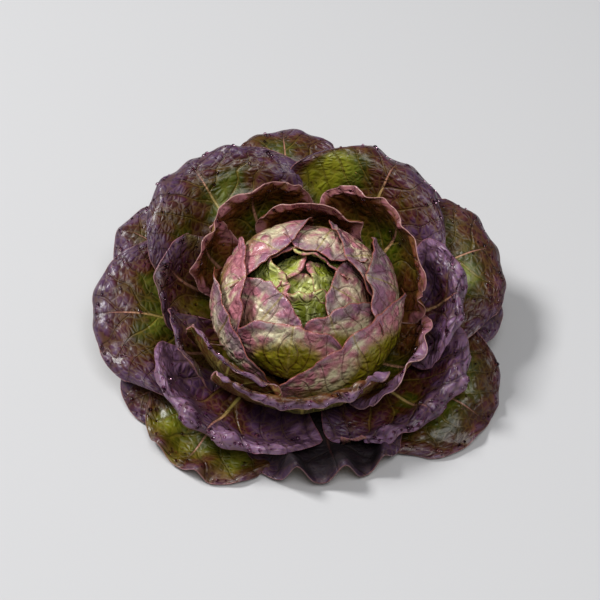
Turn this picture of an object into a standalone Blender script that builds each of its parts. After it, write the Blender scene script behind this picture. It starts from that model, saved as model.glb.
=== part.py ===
"""A head of red butterhead lettuce, cut at the stem and leaning on its front leaves.

Every leaf is one thin curved blade with a thick midrib that stands on the short cut stem.
The head is laid out round its own axis in millimetres, then leant over on the flat cut.
Rosette leaves lie on nested bowls round the axis, and heart leaves on nested balls, so
each leaf has a layer of its own and none crosses another.
"""

import math
from typing import NamedTuple

import bmesh
import bpy
import numpy as np
from mathutils import Vector

MM = 0.001
LEAN = math.radians(20.0)

STEM_RADIUS = 16.0
STEM_SHOULDER = 26.0
STEM_TIP_RADIUS = 3.6
STEM_TOP = 64.0
STEM_SIDES = 32

BLADE = 0.8
BASE_HALF_WIDTH = 10.0
RIB_WIDTH = 0.17
CORNER_POWER = 2.6
FLOOR_GAP = 0.35
LAYER_ROOM = 5.5
MOST_LAYERS = 1.7
LIFT_SOFTNESS = 2.0

# Bowls from the innermost wrapper to the lowest outer leaf, each as (radius, height)
# points from the stem out to the rim, and one more where the rim flares.
STATION = 0.25
BOWLS = np.array([
    [(16.5, 32), (46, 36), (63, 54), (63, 76), (57, 92), (62, 99)],
    [(16.5, 25.5), (50, 30), (72, 50), (76, 72), (76, 86), (88, 79)],
    [(16.5, 19.5), (56, 24), (87, 39), (99, 56), (108, 63), (121, 54)],
    [(16.5, 13), (58, 18), (90, 33), (112, 44), (131, 43), (146, 32)],
    [(16.5, 6.5), (58, 11), (91, 22), (114, 30), (134, 27), (148, 15)],
], dtype=float)

HEART_CENTRE = (3.0, -2.0)
HEART_TOP = 106.0
HEART_OUTER = 64.0
HEART_UPPER = 0.76
HEART_LOWER = 0.46
HEART_SINK = 0.42
HEART_BOTTOM = math.radians(14.0)


class Rosette(NamedTuple):
    """A leaf on a bowl. Sizes in mm, directions in degrees about the head's axis."""
    name: str
    bowl: float
    turn: float
    half_width: float
    reach: float
    corner: float = 0.2
    slant: float = 0.0
    roll: float = 0.0
    ruffle: float = 2.0
    spacing: float = 34.0
    phase: float = 0.0
    calm: float = 0.5
    cells: tuple = (8, 9)
    rib: float = 3.0


class Wrap(NamedTuple):
    """A leaf on a ball of the heart. opening is how far from the pole its rim stays."""
    name: str
    radius: float
    turn: float
    spread: float
    opening: float
    corner: float = 0.14
    slant: float = 0.0
    roll: float = 0.0
    ruffle: float = 0.5
    spacing: float = 26.0
    phase: float = 0.0
    calm: float = 0.5
    upper: float = 0.76
    cells: tuple = (7, 7)
    rib: float = 1.9


ROSETTE = [
    Rosette("outer_leaf_01", 3.72, 95, 48, 1.22, phase=0.4),
    Rosette("outer_leaf_02", 2.62, 126, 71, 1.18, phase=0.1),
    Rosette("outer_leaf_03", 2.38, 57, 68, 1.18, phase=0.3),
    Rosette("outer_leaf_04", 3.10, 19, 64, 1.15, corner=0.15, phase=0.0),
    Rosette("outer_leaf_05", 3.05, 182, 66, 1.08, corner=0.16, phase=0.6),
    Rosette("outer_leaf_06", 3.54, 153, 42, 1.07, phase=0.9),
    Rosette("outer_leaf_07", 3.55, 235, 64, 1.01, phase=0.58, ruffle=9.0, spacing=38.0,
            cells=(12, 9)),
    Rosette("outer_leaf_08", 3.10, 281, 61, 0.87, corner=0.1, phase=0.85, ruffle=17.0,
            spacing=37.0, cells=(18, 9)),
    Rosette("outer_leaf_09", 4.00, 209, 36, 0.94, ruffle=0.5),
    Rosette("outer_leaf_10", 3.55, 328, 62, 1.18, phase=0.5, ruffle=3.0),
    Rosette("outer_leaf_11", 3.90, 3, 40, 1.03, phase=0.2),
    Rosette("outer_leaf_12", 3.56, 46, 35, 1.00, ruffle=0.5, rib=2.4),

    Rosette("second_leaf_01", 2.00, 237, 70, 1.10, phase=0.5, roll=4.0, ruffle=3.0),
    Rosette("second_leaf_02", 2.33, 317, 62, 1.04, corner=0.16, slant=0.19, phase=0.9,
            roll=4.0, ruffle=4.0),
    Rosette("second_leaf_03", 1.80, 360, 47, 1.15, slant=0.03, phase=0.7),
    Rosette("second_leaf_04", 1.60, 166, 38, 0.80, phase=0.2),
    Rosette("second_leaf_05", 1.29, 205, 31, 0.97, phase=0.2),

    Rosette("wrapper_leaf_01", 0.95, 115, 44, 0.84, phase=0.9),
    Rosette("wrapper_leaf_02", 1.10, 36, 60, 0.93, phase=0.1),
    Rosette("wrapper_leaf_03", -0.50, 82, 38, 0.80, phase=0.1, ruffle=1.0),
    Rosette("wrapper_leaf_04", 0.55, 151, 26, 0.80, phase=0.7, ruffle=1.0),
    Rosette("wrapper_leaf_05", 0.70, 232, 42, 1.10, corner=0.12, phase=0.9),
    Rosette("wrapper_leaf_06", 1.05, 271, 60, 1.17, corner=0.06, phase=0.6),
    Rosette("wrapper_leaf_07", 1.30, 326, 42, 0.86, phase=0.4, rib=2.4),
]

WRAPS = [
    Wrap("heart_leaf_01", 64.0, 308, 62, 45, phase=0.2),
    Wrap("heart_leaf_02", 60.2, 205, 52, 54, phase=0.9),
    Wrap("heart_leaf_03", 60.2, 3, 40, 40, phase=0.1),
    Wrap("heart_leaf_04", 56.4, 178, 42, 38, phase=0.7),
    Wrap("heart_leaf_05", 52.6, 133, 50, 25, phase=0.6),
    Wrap("heart_leaf_06", 53.4, 258, 48, 35, phase=0.4),
    Wrap("heart_leaf_07", 52.6, 28, 44, 32, phase=0.4),
    Wrap("heart_leaf_08", 49.4, 300, 46, 29, phase=0.1),
    Wrap("heart_leaf_09", 48.0, 67, 44, 20, phase=0.8),
    Wrap("heart_leaf_10", 45.6, 222, 42, 20, phase=0.9),
    Wrap("heart_leaf_11", 43.0, 342, 42, 21, phase=0.9),
    Wrap("heart_leaf_12", 40.0, 110, 46, 24, phase=0.5),
    Wrap("centre_leaf_01", 36.2, 190, 46, 20, ruffle=0.7, spacing=14, upper=0.78,
         cells=(9, 6), rib=1.4),
    Wrap("centre_leaf_02", 32.6, 55, 46, 18, ruffle=0.7, spacing=13, upper=0.81,
         cells=(9, 6), rib=1.4),
    Wrap("centre_leaf_03", 29.0, 275, 46, 16, ruffle=0.7, spacing=12, upper=0.85,
         cells=(9, 6), rib=1.4),
    Wrap("centre_leaf_04", 25.5, 145, 46, 14, ruffle=0.7, spacing=11, upper=0.89,
         cells=(9, 6), rib=1.2),
    Wrap("centre_leaf_05", 22.0, 10, 46, 12, ruffle=0.7, spacing=10, upper=0.95,
         cells=(9, 6), rib=1.2),
    Wrap("centre_leaf_06", 18.0, 235, 50, 10, ruffle=0.7, spacing=9, upper=1.05,
         cells=(9, 6), rib=1.2),
]


def smooth(x):
    x = np.clip(x, 0.0, 1.0)
    return x * x * (3.0 - 2.0 * x)


def bowl_point(bowl, s):
    """Radius and height on the bowl at s, where 1 is the rim."""
    cell = np.clip((s / STATION).astype(int), 0, BOWLS.shape[1] - 2)
    t = (s / STATION - cell)[..., None]
    low = int(min(max(bowl, 0.0), len(BOWLS) - 1.001))
    points = BOWLS[low] + (BOWLS[low + 1] - BOWLS[low]) * (bowl - low)
    ends = np.vstack([2 * points[0] - points[1], points, 2 * points[-1] - points[-2]])
    a, b, c, d = (ends[cell + k] for k in range(4))
    return 0.5 * (2 * b + (c - a) * t + (2 * a - 5 * b + 4 * c - d) * t**2
                  + (3 * b - a - 3 * c + d) * t**3)


def width_share(v):
    """A butterhead leaf's outline: a narrow foot, widest two thirds up, a broad round top."""
    return smooth(v / 0.62) ** 0.8 * (1.0 - 0.24 * smooth((v - 0.66) / 0.34))


def rib_thickness(leaf, u, v):
    """How much thicker than the blade the leaf is along its midrib."""
    fade = 1.0 - 0.85 * smooth(v / 0.9)
    return (leaf.rib - BLADE) * np.exp(-((u / RIB_WIDTH) ** 2)) * fade


def outline_share(leaf, u, v):
    """How far out the rim reaches at u: round corners, and a slant to one side."""
    return 1.0 - leaf.corner * np.abs(u) ** CORNER_POWER * v + leaf.slant * u * v


def rosette_blade(leaf, u, v):
    """Points of the blade's upper face, u from -1 to 1 across and v from 0 to 1 along."""
    s = leaf.reach * v * outline_share(leaf, u, v)
    middle = bowl_point(leaf.bowl, leaf.reach * v)[..., 0]
    half = BASE_HALF_WIDTH + (leaf.half_width - BASE_HALF_WIDTH) * width_share(v)
    angle = math.radians(leaf.turn) + half * u / np.maximum(middle, STEM_RADIUS)
    ring = bowl_point(leaf.bowl, s)
    x, y = ring[..., 0] * np.cos(angle), ring[..., 0] * np.sin(angle)
    floor = -y * math.tan(LEAN)
    room = FLOOR_GAP + (BLADE + rib_thickness(leaf, u, v)) / math.cos(LEAN)
    room = room + LAYER_ROOM * min(4.0 - leaf.bowl, MOST_LAYERS)
    over = (floor + room - ring[..., 1]) / LIFT_SOFTNESS
    z = ring[..., 1] + LIFT_SOFTNESS * np.logaddexp(0.0, over)
    return np.stack([x, y, z], axis=-1)


def wrap_blade(leaf, u, v):
    """The same for a leaf on a ball, whose pole is the top of the heart."""
    rim = math.pi - math.radians(leaf.opening)
    s = v * outline_share(leaf, u, v)
    up = HEART_BOTTOM + (rim - HEART_BOTTOM) * s
    half = BASE_HALF_WIDTH / leaf.radius
    half = half + (math.radians(leaf.spread) - half) * width_share(v)
    across = half * u
    turn = math.radians(leaf.turn)
    out, side = leaf.radius * np.cos(across) * np.sin(up), leaf.radius * np.sin(across)
    rise = -leaf.radius * np.cos(across) * np.cos(up)
    top = HEART_TOP - HEART_SINK * (HEART_OUTER - leaf.radius)
    equator = top - HEART_UPPER * leaf.radius
    z = equator + rise * np.where(rise > 0, leaf.upper, HEART_LOWER)
    x = out * math.cos(turn) - side * math.sin(turn)
    y = out * math.sin(turn) + side * math.cos(turn)
    shift = smooth(v / 0.5)
    return np.stack([x + HEART_CENTRE[0] * shift, y + HEART_CENTRE[1] * shift, z], axis=-1)


def rim_wave(leaf, u, v):
    """Height of the ruffles, which rise from the bowl along the top of the rim."""
    width = leaf.half_width if isinstance(leaf, Rosette) else leaf.radius
    hump = 0.5 + 0.5 * np.cos(2.0 * math.pi * (u * width / leaf.spacing + leaf.phase))
    top = smooth((v - 0.55) / 0.45) * (1.0 - smooth((np.abs(u) - leaf.calm) / 0.45))
    return leaf.ruffle * hump**1.5 * top


def blade(leaf, u, v):
    """Points of the upper face with its ruffles and its rolled rim."""
    base = rosette_blade if isinstance(leaf, Rosette) else wrap_blade
    step = 1e-3
    points = base(leaf, u, v)
    across = base(leaf, u + step, v) - base(leaf, u - step, v)
    along = base(leaf, u, v + step) - base(leaf, u, v - step)
    inward = np.cross(along, across)
    inward /= np.linalg.norm(inward, axis=-1, keepdims=True) + 1e-12
    rolled = leaf.roll * smooth((v - 0.7) / 0.3) ** 2 * (1.0 - smooth((np.abs(u) - 0.6) / 0.4))
    return points + inward * (rim_wave(leaf, u, v) - rolled)[..., None]


def plain_material(name, colour, roughness):
    material = bpy.data.materials.new(name)
    material.use_nodes = True
    shader = material.node_tree.nodes["Principled BSDF"]
    shader.inputs["Base Color"].default_value = (*colour, 1.0)
    shader.inputs["Roughness"].default_value = roughness
    shader.inputs["Metallic"].default_value = 0.0
    return material


def leaf_object(leaf, collection, axis, colour):
    """One leaf: a shaped grid given its thickness, with the midrib on the outer side."""
    columns, rows = leaf.cells
    shape = bmesh.new()
    bmesh.ops.create_grid(shape, x_segments=columns, y_segments=rows, size=1.0)
    u = np.array([vert.co.x for vert in shape.verts])
    v = np.array([(vert.co.y + 1.0) / 2.0 for vert in shape.verts])
    for vert, point in zip(shape.verts, blade(leaf, u, v)):
        vert.co = point * MM
    bmesh.ops.triangulate(shape, faces=shape.faces[:], quad_method="ALTERNATE")
    mesh = bpy.data.meshes.new(leaf.name)
    shape.to_mesh(mesh)
    shape.free()
    mesh.shade_smooth()
    mesh.materials.append(plain_material(leaf.name, colour, 0.4))
    made = bpy.data.objects.new(leaf.name, mesh)
    collection.objects.link(made)
    made.parent = axis
    group = made.vertex_groups.new(name="rib")
    for index, thickness in enumerate(BLADE + rib_thickness(leaf, u, v)):
        group.add([index], float(thickness / leaf.rib), "REPLACE")
    solid = made.modifiers.new("thickness", "SOLIDIFY")
    solid.thickness = leaf.rib * MM
    solid.offset = 1.0
    solid.vertex_group = group.name
    solid.thickness_vertex_group = 0.0
    solid.use_even_offset = False
    return made


def stem_object(collection, axis):
    """The short stem: a turned foot and cone, cut flat where the head rests."""
    shape = bmesh.new()
    outline = [(0.0, STEM_TOP), (STEM_TIP_RADIUS, STEM_TOP), (STEM_RADIUS, STEM_SHOULDER),
               (STEM_RADIUS, -STEM_RADIUS), (0.0, -STEM_RADIUS)]
    verts = [shape.verts.new((radius * MM, 0.0, height * MM)) for radius, height in outline]
    edges = [shape.edges.new(pair) for pair in zip(verts, verts[1:])]
    bmesh.ops.spin(shape, geom=verts + edges, cent=(0, 0, 0), axis=(0, 0, 1), use_merge=True,
                   angle=2.0 * math.pi, steps=STEM_SIDES)
    bmesh.ops.remove_doubles(shape, verts=shape.verts[:], dist=1e-5)
    upright = Vector((0.0, math.sin(LEAN), math.cos(LEAN)))
    bmesh.ops.bisect_plane(shape, geom=shape.verts[:] + shape.edges[:] + shape.faces[:],
                           plane_co=(0, 0, 0), plane_no=upright, clear_inner=True)
    bmesh.ops.holes_fill(shape, edges=[edge for edge in shape.edges if edge.is_boundary])
    bmesh.ops.recalc_face_normals(shape, faces=shape.faces[:])
    mesh = bpy.data.meshes.new("stem")
    shape.to_mesh(mesh)
    shape.free()
    mesh.shade_smooth()
    mesh.set_sharp_from_angle(angle=math.radians(30.0))
    mesh.materials.append(plain_material("stem", (0.62, 0.62, 0.38), 0.5))
    made = bpy.data.objects.new("stem", mesh)
    collection.objects.link(made)
    made.parent = axis
    return made


RING_COLOURS = {
    "outer": (0.09, 0.03, 0.06),
    "second": (0.13, 0.04, 0.08),
    "wrapper": (0.2, 0.07, 0.09),
    "heart": (0.36, 0.2, 0.17),
    "centre": (0.5, 0.55, 0.15),
}


def main():
    for old in list(bpy.data.objects):
        bpy.data.objects.remove(old)
    collection = bpy.data.collections.new("red_butterhead_lettuce")
    bpy.context.scene.collection.children.link(collection)
    axis = bpy.data.objects.new("head_axis", None)
    collection.objects.link(axis)
    axis.rotation_euler = (LEAN, 0.0, 0.0)
    stem_object(collection, axis)
    for leaf in ROSETTE + WRAPS:
        leaf_object(leaf, collection, axis, RING_COLOURS[leaf.name.split("_")[0]])


main()
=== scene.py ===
"""The looks of a red butterhead lettuce: fine blistered leaves, veins, colour and water drops.

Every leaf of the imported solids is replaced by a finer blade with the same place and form.
Lengths in the leaf lists are millimetres, and turns are degrees about the head's own axis.
"""

import math
from typing import NamedTuple

import bmesh
import bpy
import numpy as np
from bpy.props import FloatProperty, FloatVectorProperty, IntProperty, PointerProperty
from mathutils import Matrix, Vector


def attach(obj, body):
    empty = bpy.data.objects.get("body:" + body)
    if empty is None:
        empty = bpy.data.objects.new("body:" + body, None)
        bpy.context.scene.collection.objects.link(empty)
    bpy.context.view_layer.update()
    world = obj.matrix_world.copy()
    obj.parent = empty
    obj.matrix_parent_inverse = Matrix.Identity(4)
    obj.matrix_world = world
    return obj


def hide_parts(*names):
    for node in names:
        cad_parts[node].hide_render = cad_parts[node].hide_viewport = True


bl_info = {
    "name": "Red Butterhead Lettuce",
    "version": (1, 0, 0),
    "blender": (4, 5, 0),
    "location": "View3D > Sidebar > Lettuce",
    "description": "Dresses a head of red butterhead lettuce with fine leaves and colour",
    "category": "Object",
}

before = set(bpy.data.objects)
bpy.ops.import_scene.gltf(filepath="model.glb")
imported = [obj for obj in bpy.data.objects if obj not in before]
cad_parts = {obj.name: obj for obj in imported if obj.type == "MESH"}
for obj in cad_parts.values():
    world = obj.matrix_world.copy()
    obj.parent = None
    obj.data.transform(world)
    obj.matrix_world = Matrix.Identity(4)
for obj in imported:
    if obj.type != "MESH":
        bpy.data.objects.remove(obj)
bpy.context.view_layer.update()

MM = 0.001
LEAN = math.radians(20.0)
STEM_RADIUS = 16.0
BLADE = 0.8
BASE_HALF_WIDTH = 10.0
RIB_WIDTH = 0.17
RIB_LENGTH = 0.9
RIB_LOSS = 0.85
CORNER_POWER = 2.6
FLOOR_GAP = 0.35
LAYER_ROOM = 5.5
MOST_LAYERS = 1.7
LIFT_SOFTNESS = 2.0

# Bowls from the innermost wrapper to the lowest outer leaf, each as (radius, height)
# points from the stem out to the rim, and one more where the rim flares.
STATION = 0.25
BOWLS = np.array([
    [(16.5, 32), (46, 36), (63, 54), (63, 76), (57, 92), (62, 99)],
    [(16.5, 25.5), (50, 30), (72, 50), (76, 72), (76, 86), (88, 79)],
    [(16.5, 19.5), (56, 24), (87, 39), (99, 56), (108, 63), (121, 54)],
    [(16.5, 13), (58, 18), (90, 33), (112, 44), (131, 43), (146, 32)],
    [(16.5, 6.5), (58, 11), (91, 22), (114, 30), (134, 27), (148, 15)],
], dtype=float)

HEART_CENTRE = (3.0, -2.0)
HEART_TOP = 106.0
HEART_OUTER = 64.0
HEART_UPPER = 0.76
HEART_LOWER = 0.46
HEART_SINK = 0.42
HEART_BOTTOM = math.radians(14.0)
SHIFT_LENGTH = 0.5

# The outline: where a leaf is widest, how blunt its foot is, how much its top closes and
# how narrow the waves of its rim are.
WIDEST = 0.62
FOOT_POWER = 0.8
TOP_LOSS = 0.24
WAVE_POWER = 1.5

# Where a change of form starts and over what run, or the run alone, as shares of the leaf's
# length or half width. The last one is in mm above the floor.
TOP_CLOSES = (0.66, 0.34)
WAVES_ALONG = (0.55, 0.45)
WAVES_END = 0.45
ROLL_ALONG = (0.7, 0.3)
ROLL_ACROSS = (0.6, 0.4)
RAGGED_FROM = (0.8, 0.2)
OPEN_RIM_RUN = 0.25
CLEAR_OF_FLOOR = (1.5, 5.0)

# Side veins of the open leaves: their slant against the midrib, its bend, how far the two
# sides are out of step, and the gap as a share of the spacing along the midrib.
SLANT = 1.3
SLANT_BEND = 0.005
SLANT_STAGGER = 0.45
SLANT_GAP = 0.55

# Veins of the heart's leaves: how many fan out to a side, over what turn and from what
# share of the length, their waves in shares of a vein and in mm, and the sides' stagger.
FANS = 6.0
FAN_TURN = 1.57
FAN_FOOT = 0.36
FAN_WAVE = 0.5
FAN_WAVE_LENGTH = 9.0
FAN_STAGGER = 0.3

# Sizes in mm of the patches that bend the veins, colours, dents and blisters, of the bands
# along the rim, of the waves and notches in it, and of a middling leaf.
WANDER_PATCH = 18.0
WIDE_PATCH = 40.0
TONE_PATCH = 22.0
DENT_PATCH = 24.0
WANDER = 1.5
MIDRIB_CLEAR = 8.0
SIDE_RIM_FADE = 45.0
RIM_BAND = 6.0
CRIMP_BAND = 16.0
CURL_BAND = 10.0
CRIMP_LENGTH = 9.0
RAGGED_LENGTH = 14.0
FINE_RAGGED_LENGTH = 4.2
LEAF_LENGTH = 100.0

# A blade's UVs are its leaf map's mm divided by UV_MM. The net of veins has NET_SCALE cells
# to a unit of them, and the veins thin by VEIN_TAPER mm for each mm that they run.
UV_MM = 100.0
NET_SCALE = 18.0
VEIN_TAPER = 0.014

# Where the front of the head is reached and where it starts, in metres along Y, and how
# strong the wax on the ring leaves is.
FRONT_OF_HEAD = (-0.075, -0.03)
WAX = 0.22


class Rosette(NamedTuple):
    """A leaf on a bowl. Sizes in mm, directions in degrees about the head's axis.

    glow is a patch of painted light, brighter green where light falls through the blade, as
    (place across, place along, size, strength); a strength below 0 paints shade instead, which
    on the outer ring turns a leaf nearly black. olive moves the whole blade's colour from
    violet towards olive, or back where below 0.
    """
    name: str
    bowl: float
    turn: float
    half_width: float
    reach: float
    corner: float = 0.2
    slant: float = 0.0
    roll: float = 0.0
    ruffle: float = 2.0
    spacing: float = 34.0
    phase: float = 0.0
    calm: float = 0.5
    rib: float = 3.0
    glow: tuple = (0.0, 0.45, 0.4, 0.3)
    olive: float = 0.0


class Wrap(NamedTuple):
    """A leaf on a ball of the heart. opening is how far from the pole its rim stays."""
    name: str
    radius: float
    turn: float
    spread: float
    opening: float
    corner: float = 0.14
    slant: float = 0.0
    roll: float = 0.0
    ruffle: float = 0.5
    spacing: float = 26.0
    phase: float = 0.0
    calm: float = 0.5
    upper: float = 0.76
    rib: float = 1.9
    glow: tuple = (0.0, 0.4, 0.3, 0.2)
    olive: float = 0.0


OUTER = [
    Rosette("outer_leaf_01", 3.72, 95, 48, 1.22, phase=0.4, olive=0.3),
    Rosette("outer_leaf_02", 2.62, 126, 71, 1.18, phase=0.1, glow=(0.5, 0.55, 0.3, 0.7),
            olive=-0.2),
    Rosette("outer_leaf_03", 2.38, 57, 68, 1.18, phase=0.3, glow=(0.6, 0.6, 0.5, 1.75)),
    Rosette("outer_leaf_04", 3.10, 19, 64, 1.15, corner=0.15, glow=(-0.3, 0.6, 0.3, 0.5),
            olive=0.5),
    Rosette("outer_leaf_05", 3.05, 182, 66, 1.08, corner=0.16, phase=0.6,
            glow=(-0.4, 0.6, 0.3, 0.5), olive=0.3),
    Rosette("outer_leaf_06", 3.54, 153, 42, 1.07, phase=0.9, glow=(0.0, 0.8, 0.4, 0.6)),
    Rosette("outer_leaf_07", 3.55, 235, 64, 1.01, phase=0.58, ruffle=9.0, spacing=38.0,
            glow=(0.25, 0.55, 0.4, 0.3), olive=0.95),
    # outer_leaf_08 hangs in shade at the front: its glow below 0 paints it nearly black as painted
    # shade.
    Rosette("outer_leaf_08", 3.10, 281, 61, 0.87, corner=0.1, phase=0.85, ruffle=17.0,
            spacing=37.0, glow=(0.0, 0.9, 1.6, -1.4)),
    Rosette("outer_leaf_09", 4.00, 209, 36, 0.94, ruffle=0.5, glow=(0.0, 0.8, 0.6, 0.9)),
    Rosette("outer_leaf_10", 3.55, 328, 62, 1.18, phase=0.5, ruffle=3.0,
            glow=(0.2, 0.65, 0.4, 0.3), olive=0.65),
    Rosette("outer_leaf_11", 3.90, 3, 40, 1.03, phase=0.2, glow=(0.0, 0.8, 0.5, 0.5)),
    Rosette("outer_leaf_12", 3.56, 46, 35, 1.00, ruffle=0.5, rib=2.4),
]

SECOND = [
    Rosette("second_leaf_01", 2.00, 237, 70, 1.10, phase=0.5, roll=4.0, ruffle=7.0,
            olive=-0.2),
    Rosette("second_leaf_02", 2.33, 317, 62, 1.04, corner=0.16, slant=0.19, phase=0.9,
            roll=4.0, ruffle=8.0),
    Rosette("second_leaf_03", 1.80, 360, 47, 1.15, slant=0.03, phase=0.7),
    Rosette("second_leaf_04", 1.60, 166, 38, 0.80, phase=0.2, olive=0.9),
    Rosette("second_leaf_05", 1.29, 205, 31, 0.97, phase=0.2, olive=0.8),
]

WRAPPER = [
    Rosette("wrapper_leaf_01", 0.95, 115, 44, 0.84, phase=0.9),
    Rosette("wrapper_leaf_02", 1.10, 36, 60, 0.93, phase=0.1),
    Rosette("wrapper_leaf_03", -0.50, 82, 38, 0.80, phase=0.1, ruffle=1.0),
    Rosette("wrapper_leaf_04", 0.55, 151, 26, 0.80, phase=0.7, ruffle=1.0),
    Rosette("wrapper_leaf_05", 0.70, 232, 42, 1.10, corner=0.12, phase=0.9),
    Rosette("wrapper_leaf_06", 1.05, 271, 60, 1.17, corner=0.06, phase=0.6),
    Rosette("wrapper_leaf_07", 1.30, 326, 42, 0.86, phase=0.4, rib=2.4),
]

HEART = [
    Wrap("heart_leaf_01", 64.0, 308, 62, 45, phase=0.2, glow=(0.1, 0.45, 0.6, 1.8)),
    Wrap("heart_leaf_02", 60.2, 205, 52, 54, phase=0.9, olive=-0.2),
    Wrap("heart_leaf_03", 60.2, 3, 40, 40, phase=0.1, olive=-0.5),
    Wrap("heart_leaf_04", 56.4, 178, 42, 38, phase=0.7),
    Wrap("heart_leaf_05", 52.6, 133, 50, 25, phase=0.6),
    Wrap("heart_leaf_06", 53.4, 258, 48, 35, phase=0.4, glow=(0.0, 0.5, 0.75, 2.0)),
    Wrap("heart_leaf_07", 52.6, 28, 44, 32, phase=0.4),
    Wrap("heart_leaf_08", 49.4, 300, 46, 29, phase=0.1, glow=(0.0, 0.6, 0.45, 1.3)),
    Wrap("heart_leaf_09", 48.0, 67, 44, 20, phase=0.8),
    Wrap("heart_leaf_10", 45.6, 222, 42, 20, phase=0.9),
    Wrap("heart_leaf_11", 43.0, 342, 42, 21, phase=0.9),
    Wrap("heart_leaf_12", 40.0, 110, 46, 24, phase=0.5),
]

CENTRE = [
    Wrap("centre_leaf_01", 36.2, 190, 46, 14, ruffle=-0.9, spacing=14, upper=0.78, rib=1.4),
    Wrap("centre_leaf_02", 32.6, 55, 46, 11, ruffle=-0.9, spacing=13, upper=0.81, rib=1.4),
    Wrap("centre_leaf_03", 29.0, 275, 46, 9, ruffle=-0.9, spacing=12, upper=0.85, rib=1.4),
    Wrap("centre_leaf_04", 25.5, 145, 46, 6, ruffle=-0.9, spacing=11, upper=0.89, rib=1.2),
    Wrap("centre_leaf_05", 22.0, 10, 46, 2, ruffle=-0.9, spacing=10, upper=0.95, rib=1.2),
    Wrap("centre_leaf_06", 18.0, 235, 50, -8, ruffle=-0.9, spacing=9, upper=1.05, rib=1.2),
]

NOISE_CELLS = 64


def smooth(x):
    x = np.clip(x, 0.0, 1.0)
    return x * x * (3.0 - 2.0 * x)


def rise(x, start, run):
    """0 up to start and 1 past start + run, with a smooth change between."""
    return smooth((x - start) / run)


def bowl_point(bowl, s):
    """Radius and height on the bowl at s, where 1 is the rim."""
    cell = np.clip((s / STATION).astype(int), 0, BOWLS.shape[1] - 2)
    t = (s / STATION - cell)[..., None]
    low = int(min(max(bowl, 0.0), len(BOWLS) - 1.001))
    points = BOWLS[low] + (BOWLS[low + 1] - BOWLS[low]) * (bowl - low)
    ends = np.vstack([2 * points[0] - points[1], points, 2 * points[-1] - points[-2]])
    a, b, c, d = (ends[cell + k] for k in range(4))
    return 0.5 * (2 * b + (c - a) * t + (2 * a - 5 * b + 4 * c - d) * t**2
                  + (3 * b - a - 3 * c + d) * t**3)


def width_share(v):
    """A butterhead leaf's outline: a narrow foot, widest two thirds up, a broad round top."""
    return smooth(v / WIDEST) ** FOOT_POWER * (1.0 - TOP_LOSS * rise(v, *TOP_CLOSES))


def rib_thickness(leaf, u, v):
    """How much thicker than the blade the leaf is along its midrib."""
    fade = 1.0 - RIB_LOSS * smooth(v / RIB_LENGTH)
    return (leaf.rib - BLADE) * np.exp(-((u / RIB_WIDTH) ** 2)) * fade


def outline_share(leaf, u, v):
    """How far out the rim reaches at u: round corners, and a slant to one side."""
    return 1.0 - leaf.corner * np.abs(u) ** CORNER_POWER * v + leaf.slant * u * v


def rosette_blade(leaf, u, v):
    """Points of the blade's upper face, u from -1 to 1 across and v from 0 to 1 along."""
    s = leaf.reach * v * outline_share(leaf, u, v)
    middle = bowl_point(leaf.bowl, leaf.reach * v)[..., 0]
    half = BASE_HALF_WIDTH + (leaf.half_width - BASE_HALF_WIDTH) * width_share(v)
    angle = math.radians(leaf.turn) + half * u / np.maximum(middle, STEM_RADIUS)
    ring = bowl_point(leaf.bowl, s)
    x, y = ring[..., 0] * np.cos(angle), ring[..., 0] * np.sin(angle)
    floor = -y * math.tan(LEAN)
    room = FLOOR_GAP + (BLADE + rib_thickness(leaf, u, v)) / math.cos(LEAN)
    room = room + LAYER_ROOM * min(4.0 - leaf.bowl, MOST_LAYERS)
    over = (floor + room - ring[..., 1]) / LIFT_SOFTNESS
    z = ring[..., 1] + LIFT_SOFTNESS * np.logaddexp(0.0, over)
    return np.stack([x, y, z], axis=-1)


def wrap_blade(leaf, u, v):
    """The same for a leaf on a ball, whose pole is the top of the heart."""
    rim = math.pi - math.radians(leaf.opening)
    s = v * outline_share(leaf, u, v)
    up = HEART_BOTTOM + (rim - HEART_BOTTOM) * s
    half = BASE_HALF_WIDTH / leaf.radius
    half = half + (math.radians(leaf.spread) - half) * width_share(v)
    across = half * u
    turn = math.radians(leaf.turn)
    out, side = leaf.radius * np.cos(across) * np.sin(up), leaf.radius * np.sin(across)
    climb = -leaf.radius * np.cos(across) * np.cos(up)
    top = HEART_TOP - HEART_SINK * (HEART_OUTER - leaf.radius)
    equator = top - HEART_UPPER * leaf.radius
    z = equator + climb * np.where(climb > 0, leaf.upper, HEART_LOWER)
    x = out * math.cos(turn) - side * math.sin(turn)
    y = out * math.sin(turn) + side * math.cos(turn)
    shift = smooth(v / SHIFT_LENGTH)
    return np.stack([x + HEART_CENTRE[0] * shift, y + HEART_CENTRE[1] * shift, z], axis=-1)


def rim_wave(leaf, u, v):
    """Height of the ruffles, which rise from the bowl along the top of the rim."""
    width = leaf.half_width if isinstance(leaf, Rosette) else leaf.radius
    hump = 0.5 + 0.5 * np.cos(2.0 * math.pi * (u * width / leaf.spacing + leaf.phase))
    top = rise(v, *WAVES_ALONG) * (1.0 - rise(np.abs(u), leaf.calm, WAVES_END))
    return leaf.ruffle * hump**WAVE_POWER * top


def blade(leaf, u, v, lift=0.0):
    """Points of the upper face with its ruffles and its rolled rim, and its inward normals.

    lift moves the points along those normals.
    """
    base = rosette_blade if isinstance(leaf, Rosette) else wrap_blade
    step = 1e-3
    points = base(leaf, u, v)
    across = base(leaf, u + step, v) - base(leaf, u - step, v)
    along = base(leaf, u, v + step) - base(leaf, u, v - step)
    inward = np.cross(along, across)
    inward /= np.linalg.norm(inward, axis=-1, keepdims=True) + 1e-12
    rolled = leaf.roll * rise(v, *ROLL_ALONG) ** 2 * (1.0 - rise(np.abs(u), *ROLL_ACROSS))
    height = rim_wave(leaf, u, v) - rolled + lift
    return points + inward * height[..., None], inward


def to_world(points):
    """Turns the upright head's points or directions to where they are in the leaning one."""
    turned = np.array(Matrix.Rotation(LEAN, 3, "X"))
    return points @ turned.T


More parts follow.
